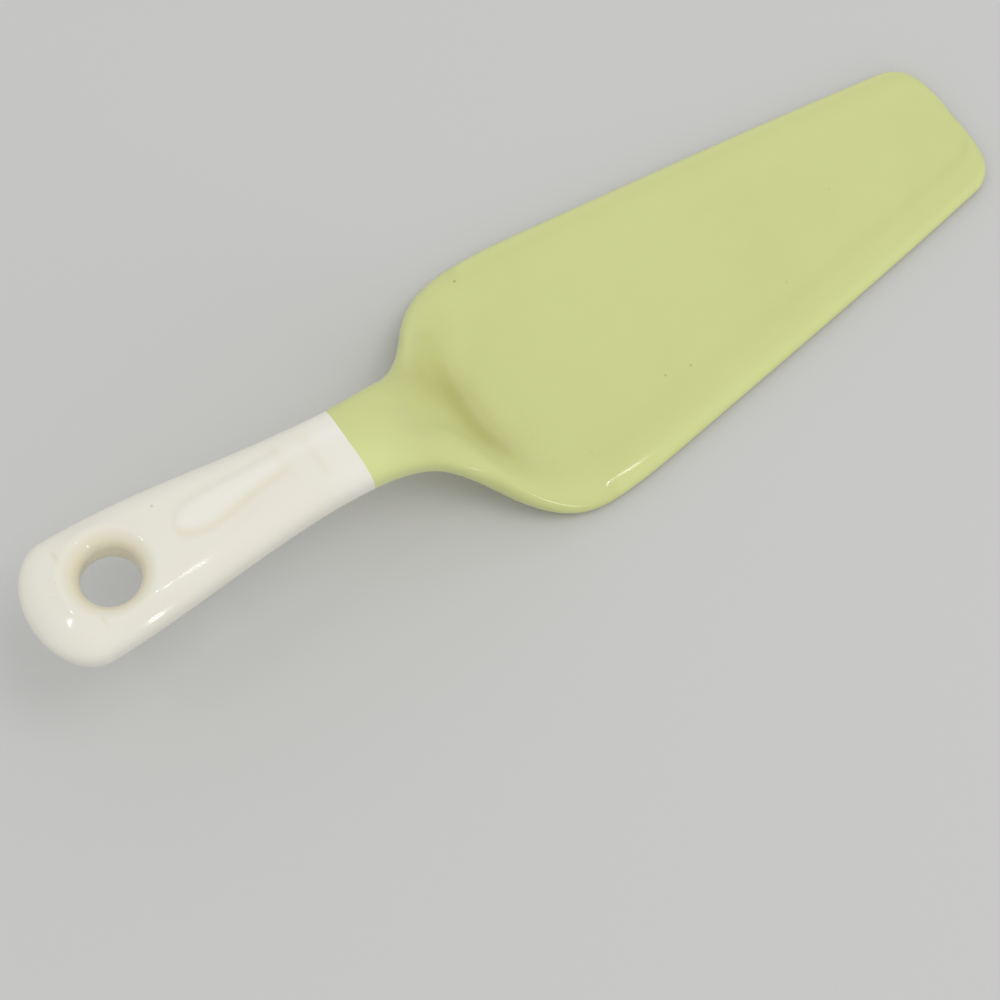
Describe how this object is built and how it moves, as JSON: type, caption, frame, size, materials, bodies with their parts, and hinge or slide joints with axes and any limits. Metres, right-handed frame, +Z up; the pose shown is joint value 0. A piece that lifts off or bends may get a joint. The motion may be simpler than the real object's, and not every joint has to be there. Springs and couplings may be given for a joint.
{
  "type": "cake server",
  "caption": "Glazed ceramic cake server: a raised handle with a hanging hole runs down through a flaring neck into a flat tapered blade with a rounded rim, for lifting slices.",
  "frame": {"origin": "on the table, under the middle of the overall box", "axes": "+X from the end of the handle to the tip of the blade, +Y to the left across the blade, +Z up"},
  "size_m": [0.235, 0.065, 0.0428],
  "materials": {
    "fired_clay": "bare fired clay, matt, slightly sandy",
    "green_glaze": "pale yellow-green glaze, semi-gloss, darker where it pools",
    "ivory_glaze": "ivory white glaze, glossy, cream where it pools"
  },
  "bodies": {
    "root": {"clay_body": "fired_clay", "blade_glaze": "green_glaze", "handle_glaze": "ivory_glaze"}
  },
  "joints": []
}
